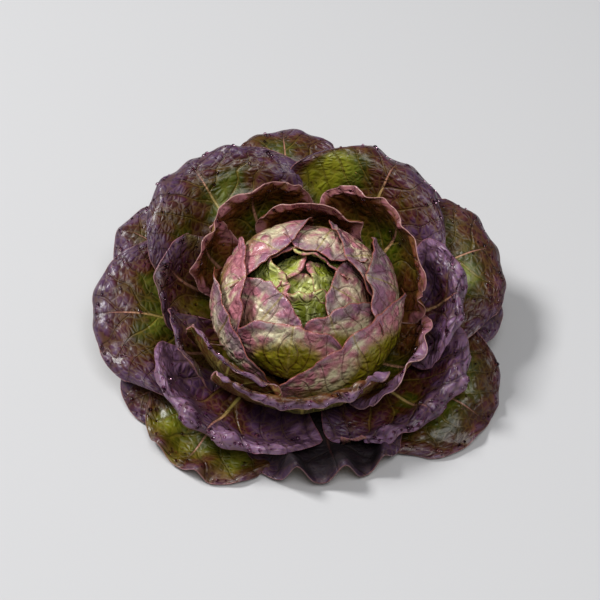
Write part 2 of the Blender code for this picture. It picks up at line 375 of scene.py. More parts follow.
def noise(x, y, seed):
    """Smooth noise from -1 to 1 with one cell to a unit."""
    table = np.random.default_rng(seed).uniform(-1.0, 1.0, (NOISE_CELLS, NOISE_CELLS))
    i, j = np.floor(x).astype(int), np.floor(y).astype(int)
    a, b = smooth(x - i), smooth(y - j)
    rows = [table[(i + step) % NOISE_CELLS, :][np.arange(len(i)), j % NOISE_CELLS] * (1 - b)
            + table[(i + step) % NOISE_CELLS, :][np.arange(len(i)), (j + 1) % NOISE_CELLS] * b
            for step in (0, 1)]
    return rows[0] * (1 - a) + rows[1] * a


def patches(across, along, size, seed):
    """The same over a leaf's places, with one cell to a size in mm."""
    return noise(across / size, along / size, seed)


def blisters(x, y, seed):
    """Puckered domes, one to a unit cell: 0 in the creases and 1 on the tops."""
    spots = np.random.default_rng(seed).uniform(0.1, 0.9, (NOISE_CELLS, NOISE_CELLS, 2))
    i, j = np.floor(x).astype(int), np.floor(y).astype(int)
    nearest = np.full(x.shape, np.inf)
    second = np.full(x.shape, np.inf)
    for p in (-1, 0, 1):
        for q in (-1, 0, 1):
            spot = spots[(i + p) % NOISE_CELLS, (j + q) % NOISE_CELLS]
            away = np.hypot(i + p + spot[:, 0] - x, j + q + spot[:, 1] - y)
            second = np.minimum(second, np.maximum(nearest, away))
            nearest = np.minimum(nearest, away)
    return smooth((second - nearest) * 1.5)


class LeafMap(NamedTuple):
    """Places on a leaf's grid, in mm: across from the midrib, along from the foot, and
    in from the rim. lateral counts the side veins, gap mm apart, and whole numbers are on
    a vein. puff is 1 on top of a blister and 0 in the creases."""
    across: np.ndarray
    along: np.ndarray
    edge: np.ndarray
    depth: np.ndarray
    lateral: np.ndarray
    gap: np.ndarray
    tone: np.ndarray
    puff: np.ndarray


class RingForm(NamedTuple):
    """How strong the fine form is on a ring's leaves, as shares of the look's sizes."""
    pucker: float = 1.0
    size: float = 1.0
    crimp: float = 1.0
    flare: float = 1.0
    ragged: float = 1.0
    outwards: float = 1.0
    slow: float = 1.0


def half_width_mm(leaf):
    if isinstance(leaf, Rosette):
        return leaf.half_width
    return leaf.radius * math.radians(leaf.spread)


def side_veins(leaf, across, along, length, look):
    """The count of side veins at a place and how far apart they are there. They leave the
    midrib at a slant on the open leaves, and fan out from the foot on the heart's."""
    spread = np.abs(across)
    step = look.vein_spacing / MM
    if isinstance(leaf, Rosette):
        count = (along - SLANT * spread - SLANT_BEND * spread**2) / step
        return count + SLANT_STAGGER * (across > 0), np.full(across.shape, step * SLANT_GAP)
    up = along - FAN_FOOT * length
    reach = np.hypot(spread, up)
    count = np.arctan2(spread, up) / (0.5 * math.pi) * FANS
    count = count + FAN_WAVE * np.sin(reach / FAN_WAVE_LENGTH)
    return count + FAN_STAGGER * (across > 0), reach * FAN_TURN / FANS


def leaf_map(leaf, u, v, look, form, seed):
    """The map of a leaf at u across and v along."""
    half = half_width_mm(leaf)
    middle = blade(leaf, np.zeros(40), np.linspace(0.0, 1.0, 40))[0]
    length = np.linalg.norm(np.diff(middle, axis=0), axis=1).sum()
    widths = BASE_HALF_WIDTH + (half - BASE_HALF_WIDTH) * width_share(v)
    across, along = u * widths, v * length
    wander = patches(across, along, WANDER_PATCH, seed)
    across = across + WANDER * wander * smooth(np.abs(across) / MIDRIB_CLEAR)
    side = (1.0 - np.abs(u)) * widths
    top = (1.0 - v) * length
    edge = np.minimum(side, top)
    depth = np.minimum(side + SIDE_RIM_FADE * (1.0 - smooth(v / 0.6)), top)
    spread = np.abs(across)
    lateral, gap = side_veins(leaf, across, along, length, look)
    lateral = lateral + 0.3 * wander + 0.25 * patches(across, along, WIDE_PATCH, seed + 11)
    place = np.hypot(u - leaf.glow[0], v - leaf.glow[1]) / leaf.glow[2]
    tone = leaf.olive + leaf.glow[3] * (1.0 - smooth(place))
    tone = tone + 0.12 * patches(across, along, TONE_PATCH, seed + 1)
    size = form.size * look.blister_size / MM
    bent_x = spread / size + 0.5 * patches(across, along, size, seed + 4)
    bent_y = along / size + 0.5 * patches(across, along, size, seed + 5)
    domes = blisters(bent_x + 20.0 * (across > 0), bent_y, seed)
    vein = np.abs(lateral - np.round(lateral)) * gap
    crease = 3.0 if isinstance(leaf, Rosette) else 1.1
    puff = domes**0.9 * smooth(vein / crease) * smooth(spread / (1.7 * crease))
    return LeafMap(across, along, edge, depth, lateral, gap, tone, puff)


def relief(leaf, place, v, look, form, seed):
    """Fine form on the blade, in mm: pucker between the veins, slow dents, a crimped rim
    that curls outwards. The heart's side rims lie under other leaves, so only its top rims
    are crimped and curled."""
    rim_from = 0.4 if isinstance(leaf, Rosette) else 0.74
    calm = smooth(place.edge / RIM_BAND)
    slow = form.slow * patches(place.across, place.along, DENT_PATCH, seed + 2)
    strength = 0.75 + 0.5 * patches(place.across, place.along, WIDE_PATCH, seed + 6)
    round_rim = place.across * 0.8 + place.along * 0.6
    row = np.full(v.shape, 0.5)
    waves = round_rim / CRIMP_LENGTH
    crimp = noise(waves, row, seed + 3) + 0.4 * noise(2.0 * waves, row, seed + 7)
    open_rim = rise(v, rim_from, OPEN_RIM_RUN)
    crimp = crimp * (1.0 - smooth(place.edge / CRIMP_BAND)) * open_rim
    curl = smooth(1.0 - place.edge / CURL_BAND) ** 2 * open_rim
    height = form.pucker * look.blister_height / MM
    lift = height * strength * (place.puff - 0.4) * calm + slow
    return form.outwards * lift + form.crimp * look.crimp_height / MM * crimp \
        - form.flare * look.rim_curl / MM * curl


def ragged(leaf, u, v, look, form, seed):
    """The same places with the rim drawn in and out a little."""
    half = half_width_mm(leaf)
    row = np.full(v.shape, 0.5)
    cut = form.ragged * look.ragged_rim / MM
    top = noise(u * half / RAGGED_LENGTH, row, seed + 8)
    top = top + 0.35 * noise(u * half / FINE_RAGGED_LENGTH, row, seed + 9)
    sides = noise(v * half / RAGGED_LENGTH + 30.0 * (u > 0), row, seed + 8)
    v = v + cut / LEAF_LENGTH * (top - 0.4) * rise(v, *RAGGED_FROM)
    sides = cut / half * (sides - 0.3) * rise(np.abs(u), *RAGGED_FROM) * smooth(v / 0.4)
    return u * (1.0 + sides), v


def surface(leaf, u, v, look, form, seed):
    """Map, points in metres and inward normals of a leaf's finished upper face."""
    place = leaf_map(leaf, u, v, look, form, seed)
    cut_u, cut_v = ragged(leaf, u, v, look, form, seed)
    bare = to_world(blade(leaf, cut_u, cut_v)[0])
    lift = relief(leaf, place, v, look, form, seed) * rise(bare[:, 2], *CLEAR_OF_FLOOR)
    points, inward = blade(leaf, cut_u, cut_v, lift)
    return place, to_world(points) * MM, to_world(inward)


def grid_mesh(name, columns, rows, size):
    """A flat square grid that reaches size to each side of its middle."""
    shape = bmesh.new()
    bmesh.ops.create_grid(shape, x_segments=columns, y_segments=rows, size=size)
    mesh = bpy.data.meshes.new(name)
    shape.to_mesh(mesh)
    shape.free()
    return mesh


def vertex_points(mesh):
    flat = np.empty(len(mesh.vertices) * 3)
    mesh.vertices.foreach_get("co", flat)
    return flat.reshape(-1, 3)


def new_object(name, data):
    made = bpy.data.objects.new(name, data)
    bpy.context.scene.collection.objects.link(made)
    return made


def turn_towards(thing, direction):
    thing.rotation_mode = "QUATERNION"
    thing.rotation_quaternion = direction.to_track_quat("-Z", "Y")


def leaf_piece(leaf, cells, look, skins, seed, form):
    """A fine blade in place of the solid's node, with its places stored for the skins."""
    mesh = grid_mesh(leaf.name + "_blade", *cells, 1.0)
    grid = vertex_points(mesh)
    u, v = grid[:, 0].copy(), (grid[:, 1] + 1.0) / 2.0
    place, points, _ = surface(leaf, u, v, look, form, seed)
    mesh.vertices.foreach_set("co", points.ravel())
    corners = np.empty(len(mesh.loops), dtype=int)
    mesh.loops.foreach_get("vertex_index", corners)
    uv = np.stack([place.across, place.along], axis=-1)[corners] / UV_MM
    mesh.uv_layers.new(name="leaf").uv.foreach_set("vector", uv.ravel())
    for name in ("edge", "depth", "lateral", "gap", "tone", "puff"):
        values = mesh.attributes.new(name, "FLOAT", "POINT")
        values.data.foreach_set("value", getattr(place, name).astype(np.float32))
    mesh.shade_smooth()
    for skin in skins:
        mesh.materials.append(skin)
    piece = new_object(leaf.name + "_blade", mesh)
    rim = look.rim_thickness / MM
    thin = rim + (BLADE - rim) * smooth(place.edge / RIM_BAND)
    group = piece.vertex_groups.new(name="rib")
    for index, thickness in enumerate(thin + rib_thickness(leaf, u, v)):
        group.add([index], float(thickness / leaf.rib), "REPLACE")
    solid = piece.modifiers.new("thickness", "SOLIDIFY")
    solid.thickness = leaf.rib * MM
    solid.offset = 1.0
    solid.vertex_group = group.name
    solid.thickness_vertex_group = 0.0
    solid.use_even_offset = False
    solid.material_offset = 1
    solid.material_offset_rim = 1
    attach(piece, "root")
    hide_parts(leaf.name)


class Paint:
    """A material that is being wired. Values may be numbers, colours or node outputs."""

    def __init__(self, name):
        self.material = bpy.data.materials.new(name)
        self.material.use_nodes = True
        self.nodes = self.material.node_tree.nodes
        self.links = self.material.node_tree.links
        self.shader = self.nodes["Principled BSDF"]

    def join(self, socket, value):
        if isinstance(value, bpy.types.NodeSocket):
            self.links.new(value, socket)
        else:
            socket.default_value = value

    def math(self, operation, *values):
        node = self.nodes.new("ShaderNodeMath")
        node.operation = operation
        for socket, value in zip(node.inputs, values):
            self.join(socket, value)
        return node.outputs[0]

    def step(self, value, low, high):
        """0 at low and 1 at high, with a smooth change between."""
        node = self.nodes.new("ShaderNodeMapRange")
        node.interpolation_type = "SMOOTHSTEP"
        for name, given in (("Value", value), ("From Min", low), ("From Max", high)):
            self.join(node.inputs[name], given)
        return node.outputs["Result"]

    def fall(self, value, low, high):
        """1 at low and 0 at high, with a smooth change between."""
        return self.math("SUBTRACT", 1.0, self.step(value, low, high))

    def times(self, a, b):
        return self.math("MULTIPLY", a, b)

    def add(self, base, extra, share):
        """base with a share of extra on top."""
        return self.math("MULTIPLY_ADD", extra, share, base)

    def mix(self, factor, a, b, blend="MIX"):
        node = self.nodes.new("ShaderNodeMix")
        node.data_type = "RGBA"
        node.blend_type = blend
        for index, value in ((0, factor), (6, a), (7, b)):
            self.join(node.inputs[index], value)
        return node.outputs[2]

    def over(self, colour, other, mask, share):
        """The colour with the other one over it, where the mask is 1 as strong as share."""
        return self.mix(self.times(mask, share), colour, other)

    def tinted(self, colour, *tint):
        """The colour with its red, green and blue each cut to a share."""
        return self.mix(1.0, colour, (*tint, 1.0), "MULTIPLY")

    def ramp(self, factor, stops):
        node = self.nodes.new("ShaderNodeValToRGB")
        while len(node.color_ramp.elements) < len(stops):
            node.color_ramp.elements.new(0.5)
        for element, (position, colour) in zip(node.color_ramp.elements, stops):
            element.position = position
            element.color = colour
        self.join(node.inputs[0], factor)
        return node.outputs[0]

    def noise(self, scale, detail, roughness=0.55):
        node = self.nodes.new("ShaderNodeTexNoise")
        node.inputs["Scale"].default_value = scale
        node.inputs["Detail"].default_value = detail
        node.inputs["Roughness"].default_value = roughness
        self.join(node.inputs["Vector"], self.place())
        return node.outputs["Fac"]

    def place(self):
        return self.nodes.new("ShaderNodeTexCoord").outputs["Object"]

    def reading(self, name):
        node = self.nodes.new("ShaderNodeAttribute")
        node.attribute_name = name
        return node.outputs["Fac"]

    def leaf_uv(self):
        node = self.nodes.new("ShaderNodeUVMap")
        node.uv_map = "leaf"
        return node.outputs["UV"]

    def warped(self, amount):
        """The leaf's own places, bent so that cells on them have no straight sides."""
        place = self.leaf_uv()
        node = self.nodes.new("ShaderNodeTexNoise")
        node.inputs["Scale"].default_value = 0.5 * NET_SCALE
        node.inputs["Detail"].default_value = 2.0
        self.join(node.inputs["Vector"], place)
        bend = self.nodes.new("ShaderNodeVectorMath")
        bend.operation = "MULTIPLY_ADD"
        self.join(bend.inputs[0], node.outputs["Color"])
        self.join(bend.inputs[1], (amount, amount, 0.0))
        self.join(bend.inputs[2], place)
        return bend.outputs[0]

    def cells(self, scale):
        """How far a place is from the sides of its cell in the net of veins."""
        node = self.nodes.new("ShaderNodeTexVoronoi")
        node.feature = "DISTANCE_TO_EDGE"
        node.inputs["Scale"].default_value = scale
        self.join(node.inputs["Vector"], self.warped(0.06))
        return node.outputs["Distance"]

    def bump(self, height, distance):
        node = self.nodes.new("ShaderNodeBump")
        node.inputs["Distance"].default_value = distance
        node.inputs["Strength"].default_value = 1.0
        self.join(node.inputs["Height"], height)
        self.links.new(node.outputs["Normal"], self.shader.inputs["Normal"])

    def finish(self, colour, roughness, **others):
        """Sets the shader's sockets. The others are named with _ for a space."""
        self.join(self.shader.inputs["Base Color"], colour)
        self.join(self.shader.inputs["Roughness"], roughness)
        for name, value in others.items():
            self.join(self.shader.inputs[name.replace("_", " ")], value)
        return self.material


def thin_line(paint, distance, width):
    """1 on a line and 0 past its width."""
    return paint.fall(distance, width * 0.45, width)


def tapered(paint, widest, run, least):
    """Half the width of a vein in mm, which gets less along its run in mm."""
    return paint.math("MAXIMUM", paint.math("MULTIPLY_ADD", run, -VEIN_TAPER, widest), least)


def vein_masks(paint):
    """Midrib, side veins and the fine net, each 1 on the vein."""
    split = paint.nodes.new("ShaderNodeSeparateXYZ")
    paint.join(split.inputs[0], paint.leaf_uv())
    spread = paint.times(paint.math("ABSOLUTE", split.outputs["X"]), UV_MM)
    along = paint.times(split.outputs["Y"], UV_MM)
    width = tapered(paint, 2.2, along, 0.5)
    midrib = paint.fall(paint.math("DIVIDE", spread, width), 0.3, 1.0)
    lateral = paint.reading("lateral")
    off = paint.math("ABSOLUTE", paint.math("SUBTRACT", lateral, paint.math("ROUND", lateral)))
    off = paint.times(off, paint.reading("gap"))
    side = paint.fall(paint.math("DIVIDE", off, tapered(paint, 1.2, spread, 0.4)), 0.2, 1.0)
    net = thin_line(paint, paint.cells(NET_SCALE), 0.1)
    return midrib, side, net


def painted_crease_shade(paint, colour, share, grain=0.9):
    """The colour with painted shade in the creases between the blisters, darker to the given
    share. grain is how much a fine noise breaks them up."""
    fine = paint.times(paint.noise(110.0, 4.0, 0.6), grain)
    height = paint.add(fine, paint.reading("puff"), 0.5)
    dark = paint.tinted(colour, share, share * 0.9, share * 0.9)
    return paint.mix(paint.fall(height, 0.3, 0.75), colour, dark)


def srgb(red, green, blue):
    """A colour as a screen shows it, from 0 to 255, made linear with full alpha."""
    shares = [channel / 255.0 for channel in (red, green, blue)]
    return tuple(s / 12.92 if s <= 0.04045 else ((s + 0.055) / 1.055) ** 2.4
                 for s in shares) + (1.0,)


def colour_property(name, description, *rgb):
    return FloatVectorProperty(name=name, description=description, subtype="COLOR", size=4,
                               min=0.0, max=1.0, default=srgb(*rgb))


def length_property(name, description, default, least, most):
    """A length that is given in mm."""
    return FloatProperty(name=name, description=description, default=default * MM,
                         min=least * MM, max=most * MM, unit="LENGTH")


class LettuceLook(bpy.types.PropertyGroup):
    """Sizes of the fine form and the water drops."""
    rim_thickness: length_property("Rim thickness", "Thickness of a blade at its rim",
                                   0.45, 0.2, 0.8)
    blister_height: length_property("Blister height", "How far the blade swells between veins",
                                    1.3, 0.0, 3.0)
    blister_size: length_property("Blister size", "Distance from one blister to the next",
                                  10.0, 3.0, 30.0)
    vein_spacing: length_property("Vein spacing", "Distance from one side vein to the next",
                                  25.0, 5.0, 40.0)
    ragged_rim: length_property("Ragged rim", "How far the outline goes in and out",
                                1.5, 0.0, 4.0)
    rim_curl: length_property("Rim curl", "How far the rim curls outwards", 2.2, 0.0, 5.0)
    crimp_height: length_property("Crimp height", "Height of the small waves along the rim",
                                  1.5, 0.0, 4.0)
    drop_radius: length_property("Drop radius", "Radius of a middling water drop",
                                 0.85, 0.2, 2.0)
    drops: IntProperty(
        name="Drops", description="How many water drops lie on the leaves",
        default=1150, min=0, max=2000)


class LettuceColours(bpy.types.PropertyGroup):
    """Colours of the leaves, from rim to foot."""
    violet: colour_property("Violet", "Waxy rim of the outer leaves", 88, 58, 88)
    purple: colour_property("Purple", "Blade inside the violet rim", 82, 34, 44)
    olive: colour_property("Olive", "Middle of an outer blade", 76, 42, 8)
    green: colour_property("Green", "Inner part of an outer blade", 68, 76, 4)
    foot: colour_property("Foot", "Foot of an outer blade", 126, 140, 44)
    glow: colour_property("Glow", "Bright green where light falls through", 150, 150, 26)
    midrib: colour_property("Midrib", "Midrib near the rim", 190, 132, 112)
    midrib_foot: colour_property("Midrib foot", "Midrib near the foot", 176, 160, 80)
    vein: colour_property("Vein", "Side veins of the outer leaves", 160, 130, 52)
    rim_line: colour_property("Rim line", "Thin pale line round a blade", 186, 128, 124)
    pale_rim: colour_property("Pale rim", "Thin line round a wrapper leaf", 216, 166, 156)
    # band is the violet of the rolled rims, lightened with a painted sheen.
    band: colour_property("Band", "Shiny rolled rims", 140, 104, 138)
    rose: colour_property("Rose", "Rims round the heart", 162, 102, 110)
    rust: colour_property("Rust", "Blade below a rose rim", 112, 60, 32)
    back_mauve: colour_property("Back mauve", "Under face of the outer leaves", 112, 74, 70)
    back_sage: colour_property("Back sage", "Under face near the foot", 128, 128, 60)
    heart_pink: colour_property("Heart pink", "Outer face of the heart's leaves", 206, 132, 142)
    heart_rose: colour_property("Heart rose", "Dark blotches on the heart", 126, 56, 78)
    heart_pale: colour_property("Heart pale", "Pale patches on the heart", 246, 240, 196)
    heart_green: colour_property("Heart green", "Lower part of the heart", 148, 140, 28)
    heart_rim: colour_property("Heart rim", "Thin line round a heart leaf", 168, 92, 74)
    centre_green: colour_property("Centre green", "Leaves in the heart's mouth", 168, 178, 60)
    centre_pale: colour_property("Centre pale", "Their lit frills", 226, 228, 150)
    water: colour_property("Water", "Water drops", 212, 172, 192)


def ring_skin(name, colours, stops, band, line, gloss, patch=30.0, front_rim=None,
              dark=False):
    """The upper face of a dark leaf: a waxy rim that turns olive and green towards the foot,
    with the blisters redder than the creases between them and painted shade in the creases,
    and painted light, bright green, where the tone is high, as where light falls through the
    blade. The stops are shares of band, which is mm from the rim, and patch is how many mm the
    colours wander. front_rim is the rim's colour towards the front of the head, if it differs.
    With dark, painted shade turns a leaf whose tone is far below 0 nearly black, less so at
    its rim, and the leaf loses its wax."""
    paint = Paint(name)
    midrib, side, net = vein_masks(paint)
    inwards, tone, puff = (paint.reading(key) for key in ("depth", "tone", "puff"))
    mottle = paint.math("SUBTRACT", paint.noise(30.0, 5.0, 0.52), 0.5)
    depth = paint.times(inwards, paint.math("MULTIPLY_ADD", mottle, 2.4, 1.0))
    for extra, share in ((mottle, patch), (puff, -0.4 * patch), (tone, 26.0)):
        depth = paint.add(depth, extra, share)
    colour = paint.ramp(paint.math("DIVIDE", depth, band), stops)
    if front_rim is not None:
        split = paint.nodes.new("ShaderNodeSeparateXYZ")
        paint.join(split.inputs[0], paint.place())
        front = paint.fall(split.outputs["Y"], *FRONT_OF_HEAD)
        colour = paint.over(colour, front_rim, front, paint.fall(depth, 4.0, 11.0))
    # Painted light: bright green where light falls through the blade.
    glow = paint.step(paint.add(tone, mottle, 2.6), 0.8, 1.9)
    colour = paint.over(colour, colours.glow, glow, 0.8)
    speck = paint.noise(260.0, 4.0, 0.7)
    speckled = paint.tinted(colour, 0.72, 0.6, 0.66)
    colour = paint.over(colour, speckled, paint.step(speck, 0.48, 0.7), 0.7)
    # Painted shade in the creases between the blisters.
    colour = painted_crease_shade(paint, colour, 0.66, 0.75)
    fade = paint.times(paint.step(inwards, 4.0, 50.0),
                      paint.step(paint.noise(30.0, 2.0), 0.3, 0.7))
    paler = paint.mix(0.45, colour, colours.vein)
    colour = paint.over(colour, paler, net, 0.3)
    colour = paint.over(colour, paler, side, fade)
    rib = paint.mix(paint.step(inwards, 30.0, 75.0), colours.midrib, colours.midrib_foot)
    strong = paint.times(midrib, paint.step(inwards, 10.0, 40.0))
    colour = paint.over(colour, rib, strong, 0.9)
    rim = thin_line(paint, paint.reading("edge"), 0.9)
    worn = paint.math("MULTIPLY_ADD", paint.noise(70.0, 2.0), 1.4, -0.1)
    colour = paint.over(colour, line, rim, worn)
    height = paint.add(paint.noise(120.0, 4.0), paint.step(paint.cells(NET_SCALE), 0.0, 0.4), 0.45)
    for vein in (side, midrib):
        height = paint.add(height, vein, -0.6)
    paint.bump(height, 0.001)
    rough, coat = paint.math("MULTIPLY_ADD", speck, 0.3, gloss), WAX
    # Painted shade: a leaf far below 0 in tone is painted nearly black, less so at its rim.
    if dark:
        shade = paint.step(paint.times(tone, -1.0), 0.6, 1.0)
        shade = paint.times(shade, paint.step(inwards, -12.0, 12.0))
        colour = paint.mix(shade, colour, paint.tinted(colour, 0.09, 0.05, 0.07))
        rough = paint.add(rough, shade, 0.35)
        coat = paint.math("MULTIPLY_ADD", shade, -WAX, WAX)
    return paint.finish(colour, rough, Specular_IOR_Level=0.4, Coat_Weight=coat,
                        Coat_Roughness=0.15)


def back_skin(name, colours, blade_colour, foot_colour):
    """The under face of a ring leaf: duller and paler, with strong pale veins."""
    paint = Paint(name)
    midrib, side, net = vein_masks(paint)
    mottle = paint.math("SUBTRACT", paint.noise(45.0, 5.0), 0.5)
    depth = paint.add(paint.reading("depth"), mottle, 50.0)
    colour = paint.mix(paint.step(depth, 5.0, 60.0), blade_colour, foot_colour)
    for mask, share in ((net, 0.3), (side, 0.6), (midrib, 1.0)):
        colour = paint.over(colour, colours.midrib_foot, mask, share)
    line = thin_line(paint, paint.reading("edge"), 1.0)
    colour = paint.mix(line, colour, colours.rim_line)
    height = paint.add(paint.times(side, 0.9), net, 0.4)
    paint.bump(height, 0.0006)
    return paint.finish(colour, 0.5, Specular_IOR_Level=0.4)


def heart_skin(name, colours):
    """The outer face of a heart leaf: a violet rim lightened with painted sheen, blotches of pink
    and cream, and a fan of veins over green towards the foot, with painted shade in the
    creases."""
    paint = Paint(name)
    midrib, side, net = vein_masks(paint)
    blotch = paint.noise(42.0, 6.0, 0.6)
    small = paint.noise(190.0, 4.0, 0.65)
    rosy = paint.add(blotch, paint.reading("puff"), 0.16)
    colour = paint.mix(paint.step(rosy, 0.42, 0.64), colours.heart_pale, colours.heart_pink)
    colour = paint.over(colour, colours.heart_rose, paint.step(small, 0.48, 0.72), 0.8)
    depth = paint.add(paint.reading("depth"), paint.math("SUBTRACT", blotch, 0.5), 50.0)
    depth = paint.add(depth, paint.reading("tone"), 30.0)
    colour = paint.mix(paint.step(depth, 14.0, 44.0), colour, colours.heart_green)
    # The rim in band: violet with a painted sheen.
    colour = paint.over(colour, colours.band, paint.fall(depth, 0.0, 10.0), 0.65)
    colour = paint.over(colour, colours.heart_rose, net, 0.15)
    red_vein = paint.mix(paint.step(depth, 15.0, 50.0), colours.heart_rose, colours.rust)
    colour = paint.over(colour, red_vein, side, 0.42)
    colour = paint.over(colour, colours.midrib_foot, midrib, 0.6)
    # Painted shade in the creases between the blisters.
    colour = painted_crease_shade(paint, colour, 0.95)
    line = thin_line(paint, paint.reading("edge"), 0.9)
    colour = paint.over(colour, colours.heart_rim, line, 0.7)
    height = paint.times(paint.noise(120.0, 5.0), 1.8)
    height = paint.add(height, paint.step(paint.cells(NET_SCALE), 0.0, 0.4), 0.5)
    height = paint.add(height, side, 0.4)
    paint.bump(height, 0.0014)
    rough = paint.math("MULTIPLY_ADD", small, 0.25, 0.16)
    return paint.finish(colour, rough, Specular_IOR_Level=0.55, Coat_Weight=0.4,
                        Coat_Roughness=0.15)


def centre_skin(name, colours):
    """Small crowded leaves: yellow green with pale frills and pink tips. The frills are partly
    their own pale colour and partly painted light, and further in from the rim the leaves
    are darkened to a deep green with painted shade.
    """
    paint = Paint(name)
    midrib, side, _ = vein_masks(paint)
    edge, pale = paint.reading("edge"), colours.centre_pale
    blotch = paint.noise(90.0, 5.0)
    colour = paint.mix(paint.step(blotch, 0.4, 0.65), colours.centre_green, pale)
    # Painted light on the frills, over their own paler colour.
    rim = paint.fall(edge, 0.5, 6.0)
    colour = paint.over(colour, pale, rim, 0.7)
    tips = paint.step(paint.noise(55.0, 3.0), 0.44, 0.52)
    colour = paint.over(colour, colours.heart_pink, rim, tips)
    # Painted shade: further in from the rim the leaves turn a deep green.
    colour = paint.over(colour, colours.green, paint.step(edge, 6.0, 18.0), 0.75)
    colour = paint.over(colour, pale, side, 0.4)
    colour = paint.over(colour, pale, midrib, 0.5)
    colour = paint.over(colour, colours.heart_rim, thin_line(paint, edge, 0.8), 0.6)
    height = paint.math("ADD", paint.step(paint.cells(22.0), 0.0, 0.3), paint.noise(160.0, 4.0))
    paint.bump(height, 0.001)
    return paint.finish(colour, 0.3, Specular_IOR_Level=0.5)


def cut_stem_skin():
    paint = Paint("cut_stem")
    grain = paint.noise(120.0, 5.0)
    colour = paint.ramp(grain, [(0.3, srgb(196, 190, 142)), (0.6, srgb(168, 166, 104)),
                                (0.8, srgb(128, 96, 60))])
    paint.bump(grain, 0.0005)
    return paint.finish(colour, 0.5)


def water_skin(colours):
    paint = Paint("water")
    return paint.finish(colours.water, 0.02, IOR=1.33, Transmission_Weight=1.0)


class LettuceRing:
    """What the leaf operators share: each names its ring's leaves and makes its skins."""
    bl_options = {"REGISTER", "UNDO"}
    wetness = 1.0

    def execute(self, context):
        look = context.scene.lettuce_look
        skins = self.skins(context.scene.lettuce_colours)
        for number, leaf in enumerate(self.leaves):
            if leaf.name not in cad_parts:
                raise RuntimeError(f"the frame has no node {leaf.name}")
            seed = self.first_seed + 10 * number
            leaf_piece(leaf, self.cells, look, skins, seed, self.form)
        return {"FINISHED"}


class LETTUCE_OT_outer(LettuceRing, bpy.types.Operator):
    """Make the dark broad leaves of the silhouette"""
    bl_idname = "lettuce.outer"
    bl_label = "Outer Leaves"
    leaves = OUTER
    cells = (84, 72)
    form = RingForm(0.75, 2.0, 0.6, 0.5, 0.6, slow=3.0)
    first_seed = 100

    def skins(self, colours):
        stops = [(0.1, colours.violet), (0.24, colours.purple), (0.46, colours.olive),
                 (0.7, colours.green), (1.0, colours.foot)]
        # With dark, painted shade turns the leaf that hangs in shade at the front nearly black.
        face = ring_skin("outer_face", colours, stops, 82.0, colours.rim_line, 0.26,
                         dark=True)
        return back_skin("outer_back", colours, colours.back_mauve, colours.back_sage), face


class LETTUCE_OT_second(LettuceRing, bpy.types.Operator):
    """Make the second ring, with its shiny rolled rims"""
    bl_idname = "lettuce.second"
    bl_label = "Second Leaves"
    leaves = SECOND
    cells = (84, 72)
    form = RingForm(0.55, 1.3, 1.6, 1.2, 0.8, slow=2.6)
    wetness = 2.6
    first_seed = 300

    def skins(self, colours):
        # The rolled rims start in band: violet with a painted sheen.
        stops = [(0.0, colours.band), (0.18, colours.violet), (0.34, colours.violet),
                 (0.62, colours.purple), (0.85, colours.olive), (1.0, colours.green)]
        face = ring_skin("second_face", colours, stops, 70.0, colours.rose, 0.22)
        return back_skin("second_back", colours, colours.rose, colours.back_sage), face


class LETTUCE_OT_wrapper(LettuceRing, bpy.types.Operator):
    """Make the rose-rimmed cups round the heart"""
    bl_idname = "lettuce.wrapper"
    bl_label = "Wrapper Leaves"
    leaves = WRAPPER
    cells = (76, 56)
    form = RingForm(1.0, 1.2, 3.2, 1.3, 1.8)
    wetness = 1.6
    first_seed = 500

    def skins(self, colours):
        stops = [(0.02, colours.rose), (0.09, colours.rust), (0.35, colours.olive),
                 (0.8, colours.green)]
        # Towards the front of the head the rims take band: violet with a painted sheen.
        face = ring_skin("wrapper_face", colours, stops, 60.0, colours.pale_rim, 0.24,
                         patch=12.0, front_rim=colours.band)
        return back_skin("wrapper_back", colours, colours.rust, colours.green), face


class LETTUCE_OT_heart(LettuceRing, bpy.types.Operator):
    """Make the blistered leaves that wrap the heart"""
    bl_idname = "lettuce.heart"
    bl_label = "Heart Leaves"
    leaves = HEART
    cells = (76, 70)
    form = RingForm(0.75, 1.25, 1.9, 1.5, 1.8, -1.0, 1.25)
    first_seed = 700

    def skins(self, colours):
        stops = [(0.0, colours.rust), (0.4, colours.green), (1.0, colours.foot)]
        face = ring_skin("heart_inside", colours, stops, 50.0, colours.heart_rim, 0.3)
        return heart_skin("heart_outside", colours), face


class LETTUCE_OT_centre(LettuceRing, bpy.types.Operator):
    """Make the small crowded leaves in the mouth of the heart"""
    bl_idname = "lettuce.centre"
    bl_label = "Centre Leaves"
    leaves = CENTRE
    cells = (52, 40)
    form = RingForm(0.6, 0.8, 2.2, 2.0, 5.5, -1.0)
    first_seed = 900

    def skins(self, colours):
        return centre_skin("centre_outside", colours), centre_skin("centre_inside", colours)


class LETTUCE_OT_stem(bpy.types.Operator):
    """Finish the cut stem"""
    bl_idname = "lettuce.stem"
    bl_label = "Cut Stem"
    bl_options = {"REGISTER", "UNDO"}

    def execute(self, context):
        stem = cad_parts["stem"]
        skin = cut_stem_skin()
        for slot in stem.material_slots:
            slot.material = skin
        return {"FINISHED"}


# Where drops lie, as shares of a leaf's half width and length, a leaf's glow below which it
# is dry, and their sizes and form as shares of the middling radius.
DROPS_ACROSS = 0.82
DROPS_TOP = 0.965
DROPS_RUN = 0.5
DRY_GLOW = -1.0
DROP_SPREAD = 0.4
LARGEST_DROP = 2.0
DROP_FLATNESS = 0.6
DROP_RISE = 0.25
DROP_SEED = 5


